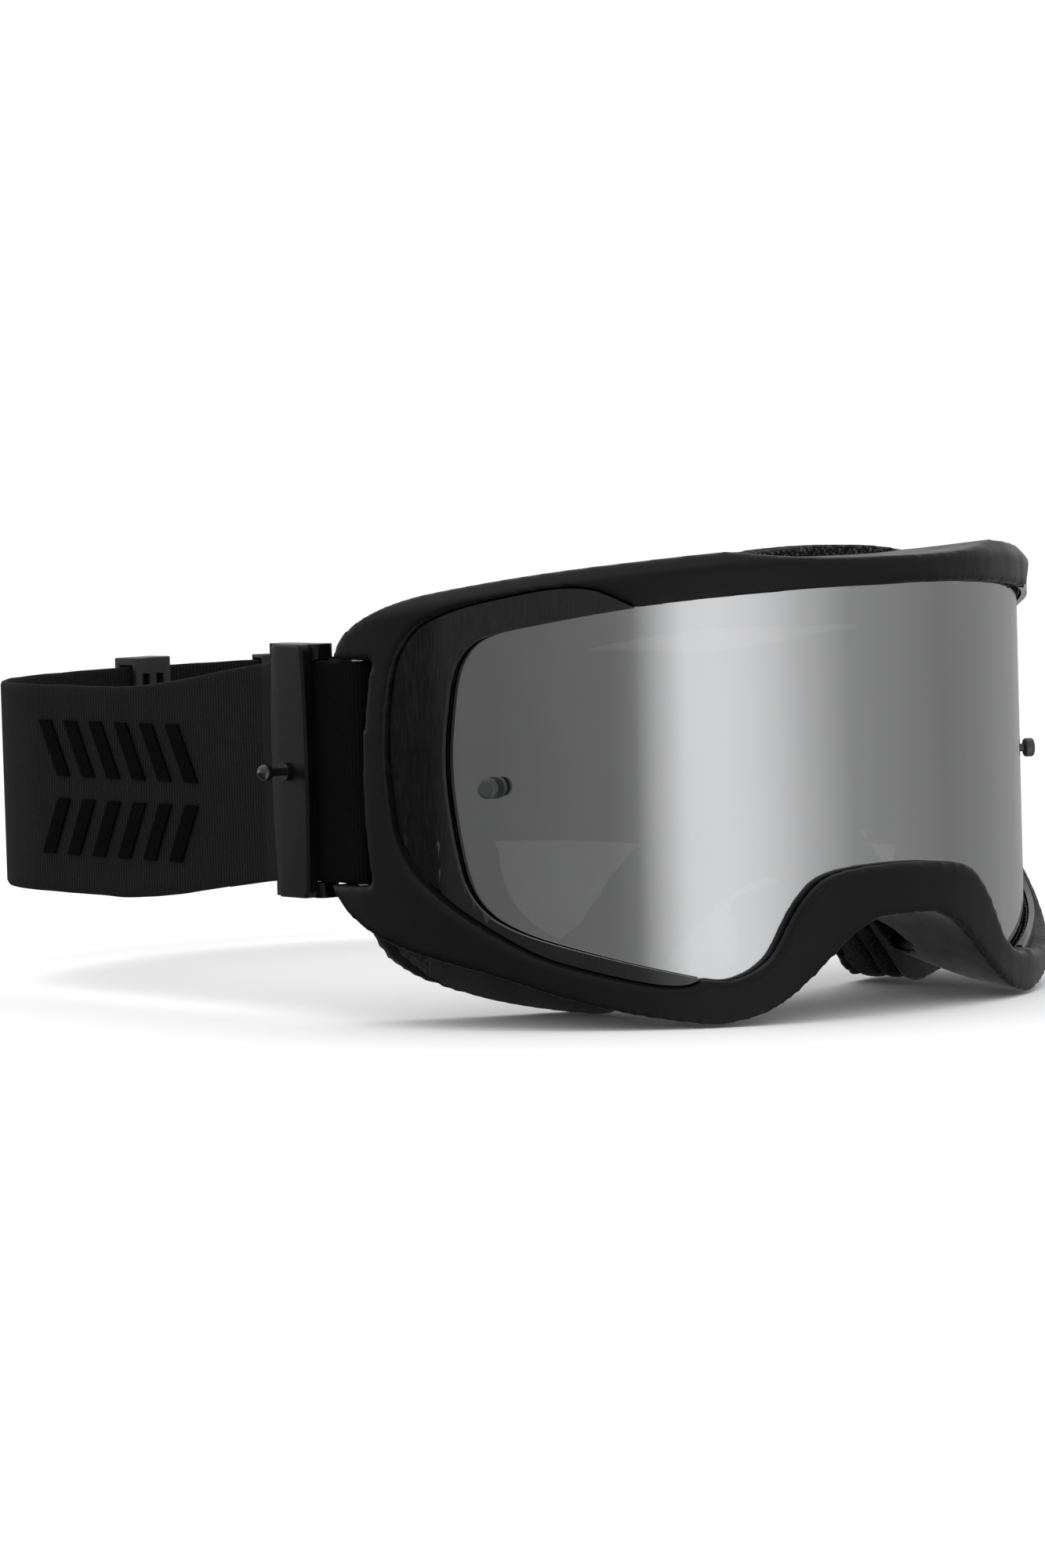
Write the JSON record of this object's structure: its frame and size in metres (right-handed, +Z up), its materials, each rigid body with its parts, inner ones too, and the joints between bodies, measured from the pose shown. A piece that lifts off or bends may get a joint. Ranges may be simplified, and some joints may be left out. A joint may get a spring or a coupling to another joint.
{
  "type": "motocross goggles",
  "caption": "Off-road motorcycle goggles with a mirrored cylindrical lens, layered face foam and an adjustable elastic strap.",
  "frame": {"origin": "centre of the underside of the whole object's box: the goggles stand on their two cheeks", "axes": "+Z up, -Y is the way the lens faces, +X is the wearer's left; the plane X = 0 is the middle of the face"},
  "size_m": [0.1846, 0.2536, 0.0936],
  "materials": {
    "satin_frame": "satin moulded black",
    "mirror_lens": "silver mirror coating on clear polycarbonate",
    "gasket_rubber": "soft black rubber",
    "soft_frame": "matt flexible black",
    "base_foam": "dense black foam",
    "middle_foam": "soft dark foam",
    "fleece": "black microfleece",
    "vent_foam": "open-cell black foam",
    "gloss_panel": "high gloss black",
    "post_plastic": "satin black",
    "bar_steel": "black coated steel",
    "ring_plastic": "satin moulded black",
    "ring_post": "shiny black",
    "elastic_webbing": "ribbed woven elastic",
    "strap_webbing": "woven elastic webbing",
    "emblem_flock": "black flocked print"
  },
  "bodies": {
    "goggles": {"outer_frame": "satin_frame", "lens": "mirror_lens", "lens_gasket": "gasket_rubber", "face_frame": "soft_frame", "foam_base": "base_foam", "foam_middle": "middle_foam", "foam_fleece": "fleece", "top_vent_foam": "vent_foam", "side_vent_foams": "vent_foam", "cheek_vent_foams": "vent_foam", "gloss_panel_left": "gloss_panel", "gloss_panel_right": "gloss_panel", "lens_post_left": "post_plastic", "lens_post_right": "post_plastic", "post_washer_left": "post_plastic", "post_washer_right": "post_plastic", "strap_bar_left": "bar_steel", "strap_bar_right": "bar_steel", "strap_ring_left": "ring_plastic", "strap_ring_right": "ring_plastic", "ring_post_left": "ring_post", "ring_post_right": "ring_post", "elastic_band_left": "elastic_webbing", "elastic_band_right": "elastic_webbing", "strap_end_left": "strap_webbing", "strap_end_right": "strap_webbing"},
    "strap": {"main_strap": "strap_webbing", "strap_emblem_left": "emblem_flock", "strap_emblem_right": "emblem_flock"},
    "slider": {"adjuster": "ring_plastic", "strap_tail": "strap_webbing", "tail_keeper": "ring_plastic"}
  },
  "joints": [
    {"name": "strap_tilt", "type": "hinge", "parent": "goggles", "child": "strap", "pos_m": [0, -0.02689, 0.05077], "axis": [1, 0, 0], "range_deg": [-8, 35]},
    {"name": "adjuster_slide", "type": "hinge", "parent": "strap", "child": "slider", "pos_m": [0, 0.01261, 0.04407], "axis": [0, 0, 1], "range_deg": [-14, 12]}
  ]
}
